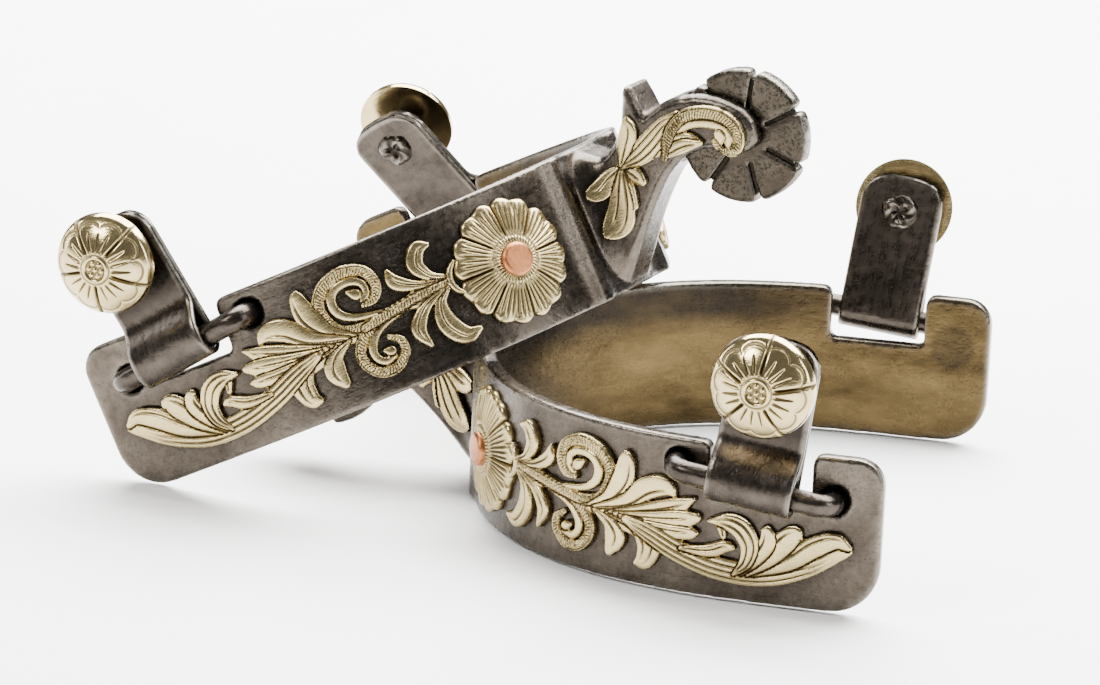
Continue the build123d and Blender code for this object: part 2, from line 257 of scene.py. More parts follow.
def filled(loops, holes, spacing, marks=()):
    """Triangles inside the first loop and outside the holes, with inner points and marked rings."""
    outer = loops[0]
    low = outer.min(0)
    high = outer.max(0)
    columns = np.arange(low[0], high[0], spacing)
    rows = np.arange(low[1], high[1], spacing)
    grid = np.stack(np.meshgrid(columns, rows), -1).reshape(-1, 2)
    innermost = loops[-1]
    grid = grid[edge_distance(grid, innermost) > 0.6 * spacing]
    for hole in holes:
        grid = grid[edge_distance(grid, hole) < -0.6 * spacing]
    for mark in marks:
        grid = grid[np.abs(edge_distance(grid, mark)) > 0.4 * spacing]
    points = np.vstack([outer] + list(loops[1:]) + list(holes) + list(marks) + [grid])
    edges = []
    start = 0
    for loop in list(loops) + list(holes) + list(marks):
        count = len(loop)
        edges += [(start + i, start + (i + 1) % count) for i in range(count)]
        start += count
    result = delaunay_2d_cdt([Vector(p) for p in points], edges, [list(range(len(outer)))], 1, 1e-6)
    flat = np.array([tuple(v) for v in result[0]])
    triangles = np.array([f for f in result[2] if len(f) == 3])
    centres = flat[triangles].mean(1)
    for hole in holes:
        triangles = triangles[edge_distance(centres, hole) < 0]
        centres = flat[triangles].mean(1)
    a, b, c = flat[triangles[:, 0]], flat[triangles[:, 1]], flat[triangles[:, 2]]
    signed = (b - a)[:, 0] * (c - a)[:, 1] - (b - a)[:, 1] * (c - a)[:, 0]
    triangles[signed < 0] = triangles[signed < 0][:, ::-1]
    return flat, triangles


def border_edges(faces):
    """Directed edges that only one face uses."""
    seen = {}
    for face in faces:
        for a, b in zip(face, list(face[1:]) + [face[0]]):
            if (b, a) in seen:
                del seen[(b, a)]
            else:
                seen[(a, b)] = True
    return list(seen)


def closed_sheet(flat, faces, front, back):
    """A closed mesh between two images of a flat patch; front(flat) and back(flat) give 3-D points."""
    faces = [tuple(int(i) for i in face) for face in faces]
    count = len(flat)
    verts = np.vstack([front(flat), back(flat)])
    sides = [(a, a + count, b + count, b) for a, b in border_edges(faces)]
    backs = [tuple(i + count for i in reversed(face)) for face in faces]
    return verts, faces + backs + sides


def joined(first, second):
    """Two meshes, each (points, faces), as one."""
    shift = len(first[0])
    return np.vstack([first[0], second[0]]), first[1] + [tuple(i + shift for i in face) for face in second[1]]


def ring_quads(low, high, count):
    """Faces between two rings of count points, given the number of each ring's first point."""
    return [(low + i, low + (i + 1) % count, high + (i + 1) % count, high + i) for i in range(count)]


def swept_faces(rings, count):
    """Faces of a bar made of rings of count points, with a cap at each end."""
    faces = [tuple(reversed(range(count))), tuple(range((rings - 1) * count, rings * count))]
    for ring in range(rings - 1):
        faces += ring_quads(ring * count, (ring + 1) * count, count)
    return faces


def flipped(faces):
    """Faces seen from their other side, each still divided along the same diagonal."""
    return [face[:1] + face[:0:-1] for face in faces]


# ---------------------------------------------------------------- engraved strokes


class Relief:
    """A patch of sheet metal built up from strokes: its inside distance, height and engraving."""

    def __init__(self, low, high, spacing):
        xs = np.arange(low[0], high[0], spacing)
        ys = np.arange(low[1], high[1], spacing)
        self.shape = (len(xs), len(ys))
        self.spacing = spacing
        self.points = np.stack(np.meshgrid(xs, ys, indexing="ij"), -1).reshape(-1, 2)
        self.inside = np.full(len(self.points), -9.0)
        self.height = np.zeros(len(self.points))
        self.cut = np.zeros(len(self.points))

    def stroke(self, spine, style):
        """Adds one tapered stroke; spine rows are (x, y, half width)."""
        path = curve_through(spine, 0.12)
        path[:, 2] = np.maximum(path[:, 2], 0.12)
        reach = path[:, 2].max() + 0.6
        above = self.points > path[:, :2].min(0) - reach
        below = self.points < path[:, :2].max(0) + reach
        index = np.nonzero(np.all(above & below, 1))[0]
        points = self.points[index]
        gaps = ((points[:, None, :] - path[None, :, :2]) ** 2).sum(2)
        wide = np.sqrt(gaps) / path[None, :, 2]
        nearest = wide.argmin(1)
        distance = np.sqrt(gaps[np.arange(len(points)), nearest])
        width = path[nearest, 2]
        inside = width - distance
        tangent = np.gradient(path[:, :2], axis=0)
        tangent /= np.linalg.norm(tangent, axis=1)[:, None]
        along = np.concatenate([[0], np.cumsum(np.linalg.norm(np.diff(path[:, :2], axis=0), axis=1))])
        offset = points - path[nearest, :2]
        across = tangent[nearest, 0] * offset[:, 1] - tangent[nearest, 1] * offset[:, 0]
        share = across / width
        travel = along[nearest] / along[-1]
        height = SHEET - rounding(inside, EDGE_ROUND)
        height += CROWN * (1 - np.clip(share, -1, 1) ** 2) * np.minimum(1, width)
        cut = np.zeros(len(points))
        fade = np.clip(travel / 0.08, 0, 1) * np.clip((0.93 - travel) / 0.18, 0, 1)
        places, size, hatch = STYLES[style]
        for place in places:
            cut = np.maximum(cut, line((share - place) * width, 0, size) * fade)
        if hatch:
            pitch, low, high = hatch
            wave = 0.5 + 0.5 * np.cos(2 * math.pi * (along[nearest] + 0.35 * across) / pitch)
            band = np.clip((share - low) / 0.12, 0, 1) * np.clip((high - share) / 0.12, 0, 1)
            cut = np.maximum(cut, 0.85 * wave ** 2 * band)
        crease = line(np.maximum(inside, 0), 0, 0.2)
        over = inside > 0
        under = self.inside[index] > 0.15
        cut = np.maximum(cut, np.where(under, 0.9 * crease, 0))
        height -= ENGRAVE * cut
        self.height[index] = np.where(over, height, self.height[index])
        self.cut[index] = np.where(over, cut, self.cut[index])
        self.inside[index] = np.maximum(self.inside[index], inside)

    def sheet(self):
        """Flat points with height and engraving, and the quads inside the outline."""
        nx, ny = self.shape
        inside = self.inside.reshape(nx, ny)
        height = self.height.reshape(nx, ny)
        limit = -0.55 * self.spacing
        keep = inside > limit
        quads = keep[:-1, :-1] & keep[1:, :-1] & keep[1:, 1:] & keep[:-1, 1:]
        corner = (inside[:-1, :-1] + inside[1:, :-1] + inside[1:, 1:] + inside[:-1, 1:]) > 0
        quads &= corner
        gx, gy = np.gradient(inside, self.spacing)
        norm = np.maximum(gx ** 2 + gy ** 2, 0.25)
        points = self.points.reshape(nx, ny, 2).copy()
        move = np.where(inside < 0.45 * self.spacing, -np.clip(inside, limit, None), 0)
        points[..., 0] += move * gx / norm
        points[..., 1] += move * gy / norm
        rim = SHEET - EDGE_ROUND
        height = np.where(inside < 0.45 * self.spacing, rim, np.maximum(height, rim * 0.8))
        i, j = np.nonzero(quads)
        number = np.arange(nx * ny).reshape(nx, ny)
        faces = np.stack([number[i, j], number[i + 1, j], number[i + 1, j + 1], number[i, j + 1]], 1)
        used, faces = np.unique(faces, return_inverse=True)
        faces = faces.reshape(-1, 4)
        return points.reshape(-1, 2)[used], height.reshape(-1)[used], self.cut[used], faces


# Strokes of the band overlay: style, then points (length round the band, height, half width)
BAND_STROKES = (
    ("plain", (56, 11.3, 0.9), (60, 11.8, 2.2), (64, 11.6, 3.3), (68, 10.6, 3.2), (71, 9.2, 2)),
    ("plain", (41, 13.2, 0.7), (44, 13.2, 1.6), (46, 12.8, 1)),
    ("leaf", (38.8, 14.6, 0.35), (41.3, 15.8, 0.85), (42.7, 18.2, 1.45), (41.6, 20.5, 1.3),
     (39.8, 20.6, 0.5)),
    ("leaf", (39, 14.2, 0.3), (43.6, 15.1, 0.8), (46.8, 16.9, 1.25), (47.4, 19.1, 0.4)),
    ("leaf", (39, 12.9, 0.35), (41.2, 10.9, 1.05), (41.4, 7.4, 1.75), (39.3, 4.6, 1.45), (36.8, 4.7, 0.5)),
    ("leaf", (40, 12.8, 0.35), (43.8, 11.3, 0.95), (46.1, 8.4, 1.3), (45.2, 5.3, 0.45)),
    ("plain", (49.5, 13.3, 0.35), (54.6, 14.1, 0.65), (57.1, 15.8, 0.85), (57.4, 18.2, 0.85),
     (55.9, 19.7, 0.8), (53.6, 19.9, 0.75), (51.9, 18.9, 0.7), (51.7, 17.3, 0.65), (52.6, 16.3, 0.6)),
    ("plain", (53.4, 17.6, 1), (54.5, 18.4, 0.4)),
    ("rim", (50, 12.7, 0.6), (54.5, 12.2, 0.95), (57.9, 12.9, 1.15), (59.5, 15.4, 1.15), (59.7, 18.2, 1.1),
     (57.8, 20.7, 1.1), (54.3, 21.8, 1.05), (51, 20.7, 1), (49.8, 18, 0.95), (50.9, 15.8, 0.8),
     (52.8, 15.5, 0.55)),
    ("plain", (47.5, 12.1, 0.35), (51.6, 11, 0.65), (53.8, 9, 0.8), (54.1, 6.9, 0.75), (52.9, 5.7, 0.7),
     (51.4, 6, 0.65)),
    ("plain", (51.5, 6.9, 0.9), (52.4, 7.3, 0.45)),
    ("rim_right", (51.5, 12, 0.6), (54.5, 10.8, 0.95), (56.2, 8.4, 0.98), (55.9, 6, 0.98),
     (54.1, 4.2, 0.95), (51.5, 4.1, 0.9), (49.5, 5.8, 0.85), (49.4, 7.9, 0.75), (50.9, 9.1, 0.55)),
    ("rope", (38.5, 13.8, 0.5), (42, 13.6, 0.85), (46, 13.2, 0.98), (50, 12.6, 0.98), (54, 11.9, 0.8)),
    ("right_vein", (56, 11.6, 0.4), (59.6, 13.6, 1.2), (61.9, 16.8, 1.95), (62.5, 20, 1.45),
     (62.3, 21.4, 0.5)),
    ("right_vein", (57, 11.5, 0.4), (62.8, 13.6, 1.35), (66.3, 16.4, 1.95), (69.4, 17.2, 1.5),
     (71.1, 16.1, 0.4)),
    ("leaf", (57, 11, 0.4), (60, 9.4, 1.2), (61.1, 7.2, 1.85), (60.3, 4.9, 0.95)),
    ("broad", (59.5, 11, 0.4), (64.6, 10.1, 1.3), (67, 7.4, 2.05), (66.6, 4.6, 1.6), (65.2, 3.8, 0.6)),
    ("leaf", (60, 11.3, 0.4), (66, 12.5, 1.4), (71, 14, 1.6), (74.2, 15.8, 0.45)),
    ("leaf", (61, 11.2, 0.5), (67.5, 11.6, 1.35), (72, 12.2, 1.7), (74.8, 12.9, 0.95)),
    ("leaf", (62, 11, 0.5), (69.5, 10.1, 1.2), (73.4, 10.2, 1.2), (74.9, 10.4, 0.55)),
    ("plain", (82, 4.6, 1), (86, 6.2, 2.4), (90, 8.4, 3), (94, 9.7, 2.2), (98, 10.7, 1)),
    ("fan", (63, 10.6, 0.9), (67.5, 8.9, 1.7), (72.5, 6.8, 1.9), (79, 5.1, 1.95), (86, 5, 1.9),
     (92.5, 7, 1.8), (98, 10, 1.2), (99.6, 10.6, 0.6)),
    ("leaf", (72.5, 7.6, 0.5), (77, 7.8, 1.15), (79.8, 8.9, 1.05), (81.1, 8.8, 0.4)),
    ("left_vein", (84.5, 4.9, 0.5), (90, 7.6, 1.5), (94, 10.6, 1.85), (97.3, 12, 1.4), (99.4, 11.2, 0.7)),
    ("left_vein", (83.6, 4.8, 0.5), (86.8, 7.8, 1.5), (89.2, 10.8, 2), (90.7, 12.3, 1.45), (91.4, 12, 0.7)),
    ("left_vein", (82.6, 4.8, 0.5), (85, 7.6, 1.2), (86.6, 10.4, 1.5), (86.4, 12.2, 1), (85.8, 12.4, 0.5)),
    ("leaf", (78.9, 12.1, 0.8), (79.4, 10.5, 0.5)),
    ("broad", (81.4, 4.6, 0.5), (83.3, 6.8, 1.2), (83.7, 9.6, 1.65), (82.3, 12, 1.8), (79.9, 13, 1.35),
     (77, 12.8, 0.4)),
    ("plain", (36.8, 16.4, 0.35), (37.9, 15.2, 0.55), (38.4, 13.6, 0.6), (37.9, 12, 0.55),
     (36.9, 11, 0.35)),
)

# Strokes of the shank overlay: style, then points (x, z, half width) on its side
SHANK_STROKES = (
    ("plain", (-7.6, 19.4, 1.2), (-12, 20.6, 1.9), (-16, 21.2, 2.2), (-19.5, 20.6, 1.2)),
    ("leaf", (-7.4, 19.5, 0.4), (-4.8, 18.5, 1.5), (-2.6, 17.2, 1.7), (-1.3, 17.8, 0.5)),
    ("leaf", (-7.7, 19.3, 0.4), (-9.1, 17.7, 1.35), (-9.9, 16.2, 0.9)),
    ("leaf", (-7.6, 19.2, 0.4), (-7.1, 15.8, 1.2), (-6.9, 12.9, 0.8)),
    ("broad", (-7.4, 19.4, 0.4), (-6.2, 16.6, 1.5), (-4.9, 13.4, 2.2), (-3.3, 10.9, 2.2),
     (-1.8, 10.1, 0.9)),
    ("leaf", (-15.6, 18.8, 0.6), (-18, 20.4, 1), (-20.8, 20.2, 0.9), (-22.3, 19.3, 0.5)),
    ("leaf", (-15.8, 18.7, 0.6), (-19.2, 19.2, 1.3), (-22.6, 18.6, 0.6)),
    ("fan", (-7.6, 19.6, 0.6), (-11.4, 20.4, 1.9), (-14.6, 21.7, 2.1), (-17.5, 23.2, 1.6),
     (-20.5, 24.2, 0.8)),
    ("leaf", (-7.4, 19.8, 0.4), (-9.4, 22.4, 1.5), (-11, 24.5, 1.6), (-11.6, 26.6, 0.5)),
    ("plain", (-18.9, 21.6, 0.5), (-22.5, 22, 0.9), (-25.5, 21, 0.95), (-27.5, 19.5, 0.85),
     (-28, 17.8, 0.75), (-27.3, 16.7, 0.65)),
    ("plain", (-26.5, 18.5, 1.15), (-26, 17.2, 0.5)),
    ("rim", (-15.4, 18.1, 0.4), (-16.8, 20.3, 0.95), (-18.8, 22.4, 1.15), (-21.3, 23.5, 1.2),
     (-24.2, 23.3, 1.2), (-27, 22.1, 1.2), (-29, 20.1, 1.1), (-29.7, 17.9, 1.05), (-28.9, 15.9, 1),
     (-27.2, 15.2, 0.95), (-25.6, 16, 0.9), (-25.2, 17.8, 0.7)),
)

# ---------------------------------------------------------------- shapes, as (points, faces, values)


def shank_loop():
    """The shank's side outline, anticlockwise."""
    runs = [curve_through(SHANK_TOP, 0.5), curve_through(GUARD_TIP, 0.4), curve_through(SHANK_ARM, 0.5),
            curve_through(SHANK_END, 0.4), curve_through(SHANK_UNDER, 0.5)]
    return spaced(np.vstack([run[:-1] for run in runs] + [runs[-1][-1:]]), 0.5)[::-1]


def shank_half(points):
    """Half the shank's thickness: rounded edges, and a root that swells away from its edges."""
    edges = shank_loop()
    edges[edges[:, 0] > 1.9, 0] += 9.0
    depth = edge_distance(points, edges)
    swell = np.sin(0.5 * np.pi * np.clip(depth / 5.0, 0, 1))
    flare = 4.6 * np.clip((points[:, 0] + 6.5) / 7.6, 0, 1) ** 1.8
    return SHANK_HALF + flare * swell - rounding(depth, SHANK_EDGE)


def object_from(verts, faces, name):
    """A new mesh object in the scene."""
    mesh = bpy.data.meshes.new(name)
    mesh.from_pydata([tuple(v) for v in verts], [], faces)
    mesh.update()
    piece = bpy.data.objects.new(name, mesh)
    bpy.context.scene.collection.objects.link(piece)
    return piece


def evaluated(piece):
    """Points and faces of an object with its modifiers, which is then removed."""
    bpy.context.view_layer.update()
    shown = piece.evaluated_get(bpy.context.evaluated_depsgraph_get())
    result = shown.to_mesh()
    verts = np.array([tuple(v.co) for v in result.vertices])
    faces = [tuple(p.vertices) for p in result.polygons]
    normals = np.array([tuple(v.normal) for v in result.vertices])
    shown.to_mesh_clear()
    bpy.data.objects.remove(piece)
    return verts, faces, normals


def band_slab():
    """The heel band's wall, both branches in one, with the soft ridge beside the shank."""
    long, high, floor = BAND_LENGTH, BAND_HEIGHT, NOTCH_FLOOR
    corners = [(-long, 0, 8), (long, 0, 8), (long, high, 4.5), (NOTCH[1], high, 1.6), (NOTCH[1], floor, 1.0),
               (NOTCH[0], floor, 1.0), (NOTCH[0], high, 1.6), (-NOTCH[0], high, 1.6), (-NOTCH[0], floor, 1.0),
               (-NOTCH[1], floor, 1.0), (-NOTCH[1], high, 1.6), (-long, high, 4.5)]
    loop = rounded(corners, 0.8)
    centres = [(sign * length, height) for sign in (1, -1) for length, height in (HEEL_HOLE, TIP_HOLE)]
    rings = [circle(centre, radius, 40) for centre in centres for radius in (2.45, 2.2)]
    flat, faces = filled([loop], [], 0.7, rings)
    dents = np.zeros(len(flat))
    for centre in centres:
        dents += 1.5 * (np.hypot(flat[:, 0] - centre[0], flat[:, 1] - centre[1]) < 2.3)

    ridge = 1.1 * line(np.abs(flat[:, 0]), RIDGE_AT + 0.8, 2.4)
    swell = ridge - dents
    return closed_sheet(flat, faces, lambda p: on_band(p, swell), lambda p: on_band(p, -BAND_THICKNESS))


def shank_slab():
    """The shank with its guard, as a slab of varying thickness."""
    flat, faces = filled([shank_loop()], [], 0.6)
    half = shank_half(flat)
    return closed_sheet(flat, faces[:, ::-1], lambda p: upright(p, half), lambda p: upright(p, -half))


def halo(strokes, low, high, across, upward):
    """How close points of a face lie to a set of strokes: one beside them, falling off over 3 mm."""
    spacing = 0.5
    xs = np.arange(low[0], high[0], spacing)
    ys = np.arange(low[1], high[1], spacing)
    grid = np.stack(np.meshgrid(xs, ys, indexing="ij"), -1).reshape(-1, 2)
    gap = np.full(len(grid), 99.0)
    for _, *spine in strokes:
        path = curve_through(spine, 0.5)
        away = np.sqrt(((grid[:, None, :] - path[None, :, :2]) ** 2).sum(2)) - path[None, :, 2]
        gap = np.minimum(gap, away.min(1))
    column = np.clip(((across - low[0]) / spacing).astype(int), 0, len(xs) - 1)
    row = np.clip(((upward - low[1]) / spacing).astype(int), 0, len(ys) - 1)
    return np.exp(-np.clip(gap, 0, None) / 2.2).reshape(len(xs), len(ys))[column, row]


def slot_cutter():
    """A disc that leaves room for the rowel between the shank's cheeks."""
    ring = circle(ROWEL_CENTRE, 12.0, 96)
    verts = np.vstack([upright(ring, -2.0), upright(ring, 2.0)])
    return object_from(verts, flipped(swept_faces(2, len(ring))), "slot_cutter")


def spur_body():
    """Band and shank grown into one another, with rounded edges, as one forging looks."""
    shank = object_from(*shank_slab(), "shank_blank")
    cutter = slot_cutter()
    cut = shank.modifiers.new("slot", "BOOLEAN")
    cut.object = cutter
    cut.operation = "DIFFERENCE"
    cut.solver = "EXACT"
    shank_verts, shank_faces, _ = evaluated(shank)
    bpy.data.objects.remove(cutter)
    verts, faces = joined(band_slab(), (shank_verts, shank_faces))
    body = object_from(verts, faces, "body_blank")
    remesh = body.modifiers.new("remesh", "REMESH")
    remesh.mode = "VOXEL"
    remesh.voxel_size = BODY_VOXEL
    smooth = body.modifiers.new("smooth", "SMOOTH")
    smooth.factor = 0.5
    smooth.iterations = 6
    verts, faces, normals = evaluated(body)
    return verts, faces, body_values(verts, faces, normals)


def bending(verts, faces, normals):
    """How far each point stands out of its neighbours' middle, evened out: more than 0 on an edge."""
    quads = np.array([face for face in faces if len(face) == 4])

    def neighbours(values):
        total = np.zeros_like(values)
        count = np.zeros(len(values))
        for a, b in ((0, 1), (1, 2), (2, 3), (3, 0)):
            for i, j in ((a, b), (b, a)):
                np.add.at(total, quads[:, i], values[quads[:, j]])
                np.add.at(count, quads[:, i], 1)
        return (total.T / np.maximum(count, 1)).T

    bend = -((neighbours(verts) - verts) * normals).sum(1) / BODY_VOXEL
    for _ in range(3):
        bend = 0.5 * bend + 0.5 * neighbours(bend)
    return bend


def body_values(verts, faces, normals):
    """Convex edges (worn, and lightened as a painted highlight), darkening (painted shade in creases, with a
    weld stain and patina), the band's inside and the grain's direction, on the points.
    """
    bend = bending(verts, faces, normals)
    side = np.where(verts[:, 1] < 0, -1.0, 1.0)
    heel_radius = BAND_ARCS[0][0]
    in_heel = verts[:, 0] < HEEL_END
    heel = np.stack([verts[:, 0] - heel_radius, verts[:, 1]], 1)
    branch = np.stack([np.full(len(verts), -0.1), side], 1)
    outward = np.where(in_heel[:, None], heel, branch)
    outward /= np.linalg.norm(outward, axis=1)[:, None]
    facing = -(outward * normals[:, :2]).sum(1)
    inner = np.clip((facing - 0.3) / 0.4, 0, 1) * (verts[:, 0] > 0.5)
    outer = 1 - np.clip(inner * 4, 0, 1)
    around = np.where(in_heel, heel_radius * np.arctan2(verts[:, 1], heel_radius - verts[:, 0]),
                      side * (HEEL_END_LENGTH + verts[:, 0] - HEEL_END))
    length, high = np.abs(around), verts[:, 2]
    weld = np.hypot(length - WELD_STAIN[0], high - WELD_STAIN[1])
    # The band's inside is made darker towards its top edge, fading out towards the tip
    darker_near_top = np.clip((high - 16.0) / 4.5, 0, 1) * np.clip((84 - length) / 22, 0, 1)
    on_band_face = outer * (length > 15) * (verts[:, 0] > 0)
    on_shank = (verts[:, 0] < 1) * (np.abs(verts[:, 1]) > 2.5)
    disc = np.hypot(length - ROSETTE_AT[0], high - ROSETTE_AT[1]) - ROSETTE_RADIUS
    # Darkening: painted shade in concave creases, a weld stain and a darker top inside the band, and black
    # patina round the overlays and the rosette
    grime_and_shade = np.maximum.reduce([
        np.clip((-bend - 0.04) / 0.14, 0, 1),
        inner * 0.5 * np.clip((4.2 - weld) / 0.8, 0, 1),
        inner * darker_near_top,
        0.6 * on_band_face * halo(BAND_STROKES, (10, -3), (106, 29), length, high),
        0.6 * on_shank * halo(SHANK_STROKES, (-38, -3), (6, 35), verts[:, 0], high),
        0.6 * outer * np.exp(-np.clip(disc, 0, None) / 2.0) * (verts[:, 0] > 0),
    ])
    flow = np.stack([around, np.hypot(heel[:, 0], heel[:, 1]), high], 1)
    return {"edge": np.clip(bend / 0.12, 0, 1), "hollow": grime_and_shade, "inner": inner, "flow": flow}


def overlay(strokes, low, high, place, rise, under):
    """Strokes worked as one sheet, set down by place(points, out), with its back at under."""
    relief = Relief(low, high, OVERLAY_GRID)
    for style, *spine in strokes:
        relief.stroke(spine, style)
    flat, height, cut, faces = relief.sheet()
    high = height + rise
    verts, faces = closed_sheet(flat, faces[:, ::-1], lambda p: place(p, high), lambda p: place(p, under))
    return verts, faces, {"cut": np.concatenate([cut, np.ones(len(cut))])}


def band_overlay():
    """The leaves and scrolls along one branch of the band."""
    return overlay(BAND_STROKES, (35.5, 2.0), (101.0, 23.5), on_band, 0.0, -0.15)


def shank_overlay():
    """The leaves and the scroll on one side of the shank."""
    def on_shank(points, out):
        return upright(points, shank_half(points) + out)

    return overlay(SHANK_STROKES, (-32.5, 7.5), (2.0, 28.5), on_shank, -0.1, -0.4)


def round_relief(rim, height, rings, place, low, grime_and_shade):
    """A closed round piece from the radius at each spoke and height(radius, angle, share of the radius),
    which gives (height, engraving). place(points, out) sets it down; its plain back lies at low."""
    spokes = len(rim)
    angles = np.linspace(0, 2 * math.pi, spokes, endpoint=False)
    shares = np.concatenate([np.linspace(0, 0.94, rings - 4), [0.96, 0.98, 0.992, 1.0]])[1:]
    radius = shares[:, None] * rim[None, :]
    angle = np.broadcast_to(angles, radius.shape)
    high, cut = height(radius, angle, shares[:, None] * np.ones_like(radius))
    middle_high, middle_cut = height(*np.zeros((3, 1, 1)))
    flat = np.stack([radius * np.cos(angle), radius * np.sin(angle)], -1).reshape(-1, 2)
    middle = len(flat)
    back = middle + 1
    faces = [(middle, i, (i + 1) % spokes) for i in range(spokes)]
    for ring in range(len(shares) - 1):
        faces += flipped(ring_quads(ring * spokes, (ring + 1) * spokes, spokes))
    faces += flipped(ring_quads(middle - spokes, back, spokes))
    faces.append(tuple(reversed(range(back, back + spokes))))
    front = place(np.vstack([flat, [[0, 0]]]), np.append(high, middle_high))
    verts = np.vstack([front, place(flat[-spokes:], low)])
    return verts, faces, {"cut": np.concatenate([np.append(cut, middle_cut), np.full(spokes, grime_and_shade)])}


def radial_lines(radius, angle, count, size, phase=0.0):
    """Engraved radial lines, count of them, each about size wide."""
    off = (angle - phase + math.pi / count) % (2 * math.pi / count) - math.pi / count
    return line(radius * np.sin(off), 0, size)


def between(value, low, high, soft):
    """One from low to high, fading to zero over soft."""
    return np.clip((value - low) / soft, 0, 1) * np.clip((high - value) / soft, 0, 1)


def rosette():
    """A domed disc of sixteen scallops in eight sectors, fluted, with a knurled ring."""
    angles = np.linspace(0, 2 * math.pi, ROSETTE_SPOKES, endpoint=False)
    notch = 1 - np.abs(np.sin(8 * angles)) ** 1.1
    rim = ROSETTE_RADIUS - (0.45 + 0.5 * np.cos(4 * angles) ** 2) * notch

    def height(radius, angle, share):
        dome = 0.75 + 1.45 * (1 - share ** 2)
        flutes = radial_lines(radius, angle, 56, 0.19) * between(radius, 3.9, 9.6, 1.2)
        petals = radial_lines(radius, angle, 16, 0.2) * between(radius, 7.0, 12.0, 2.0)
        sectors = radial_lines(radius, angle, 8, 0.2) * between(radius, 3.9, 12.0, 0.4)
        scoop = 0.14 * np.abs(np.sin(8 * angle)) ** 0.8 * np.clip((radius - 6.5) / 3, 0, 1)
        ring = between(radius, 2.85, 3.9, 0.2)
        knurl = radial_lines(radius, angle, 40, 0.12) * ring
        groove = line(radius, 4.0, 0.14)
        cut = np.maximum.reduce([flutes, 0.4 * petals, sectors, 0.9 * knurl, 0.6 * groove])
        edge = 0.25 * np.clip((share - 0.96) / 0.04, 0, 1) ** 2
        lines = 0.27 * flutes + 0.14 * petals + 0.36 * sectors + 0.22 * knurl + 0.15 * groove
        return dome + scoop + 0.15 * ring - lines - edge, cut

    def place(points, out):
        return on_band(np.array(ROSETTE_AT) + points * (-1, 1), out)

    return round_relief(rim, height, 44, place, -0.1, 1.0)


def rosette_centre():
    """The flat copper disc in the rosette's middle."""
    at, normal = band_point(ROSETTE_AT)
    tangent = np.array([normal[1], -normal[0], 0])

    def height(radius, angle, share):
        return 2.95 + 0.15 * (1 - share ** 2) - 0.4 * np.clip((share - 0.82) / 0.18, 0, 1) ** 2, 0.0 * radius

    def place(points, out):
        rise = np.zeros((len(points), 3))
        rise[:, 2] = points[:, 1]
        return at + np.outer(out + 0 * points[:, 0], normal) - points[:, :1] * tangent + rise

    return round_relief(np.full(CENTRE_SPOKES, CENTRE_RADIUS), height, 16, place, 1.6, 0.0)


def bar_frame():
    """Middle of the bar's axis, directions along it (to the heel), up and outwards, and half its length."""
    heel, tip = band_point(HEEL_HOLE)[0], band_point(TIP_HOLE)[0]
    length = np.linalg.norm(heel - tip)
    along = (heel - tip) / length
    outward = np.cross(along, (0, 0, 1))
    outward /= np.linalg.norm(outward)
    up = np.cross(outward, along)
    return (heel + tip) / 2 + outward * BAR_STANDOFF, along, up, outward, length / 2


def on_bar(points, rest=(0, 0)):
    """Points given as (along, up, out) from the bar's middle, hanging at rest, in the spur's frame."""
    middle, along, up, outward, _ = bar_frame()
    points = np.asarray(points, float)
    c, s = math.cos(math.radians(rest[0])), math.sin(math.radians(rest[0]))
    right = points[:, :1] - rest[1]
    rise = points[:, 1:2] * c - points[:, 2:3] * s
    out = points[:, 1:2] * s + points[:, 2:3] * c
    return middle + right * along + rise * up + out * outward


def button(rest):
    """A domed button engraved with ten petals in five sectors and a ring of beads."""
    beads = np.vstack([[[0.0, 0.0]], circle((0, 0), 1.15, 6)])

    def height(radius, angle, share):
        dome = 1.1 + 3.9 * (1 - share ** 2) ** 0.8
        petal = 7.4 - 1.1 * (1 - np.abs(np.sin(5 * angle)) ** 0.55)
        outline = line(radius, petal, 0.16) + 0.3 * line(radius, petal - 0.5, 0.1)
        outline = np.minimum(outline, 1) * np.clip(np.abs(np.sin(5 * angle)) * 6, 0, 1)
        sectors = radial_lines(radius, angle, 5, 0.25) * between(radius, 2.6, 10.0, 0.5)
        dart = 0.07 + 0.16 * np.clip((5.9 - radius) / 3.0, 0, 1)
        darts = radial_lines(radius, angle, 20, dart) * between(radius, 2.7, 5.9, 0.5)
        ring = line(radius, 2.1, 0.2)
        moat = line(radius, 2.48, 0.13)
        pit = between(radius, -1.0, 1.8, 0.2)
        x, y = radius * np.cos(angle), radius * np.sin(angle)
        domes = [np.clip(0.47 ** 2 - (x - bead[0]) ** 2 - (y - bead[1]) ** 2, 0, None) for bead in beads]
        bead = np.sqrt(np.maximum.reduce(domes))
        cut = np.maximum.reduce([0.95 * outline, sectors, darts, moat, 0.7 * pit * (bead < 0.12)])
        edge = 0.5 * np.clip((share - 0.96) / 0.04, 0, 1) ** 2
        high = dome - 0.2 * outline - 0.45 * sectors - 0.25 * darts - 0.18 * moat
        return high + 0.12 * ring - 0.3 * pit + 0.75 * bead - edge, cut

    def place(points, out):
        spin = math.radians(BUTTON_SPIN)
        x = points[:, 0] * math.cos(spin) - points[:, 1] * math.sin(spin)
        y = points[:, 0] * math.sin(spin) + points[:, 1] * math.cos(spin)
        return on_bar(np.stack([x, BUTTON_RISE + y, NECK_LENGTH - STRAP_BACK + STRAP + out + 0 * x], 1), rest)

    return round_relief(np.full(BUTTON_SPOKES, BUTTON_RADIUS), height, 54, place, 0.0, 0.0)


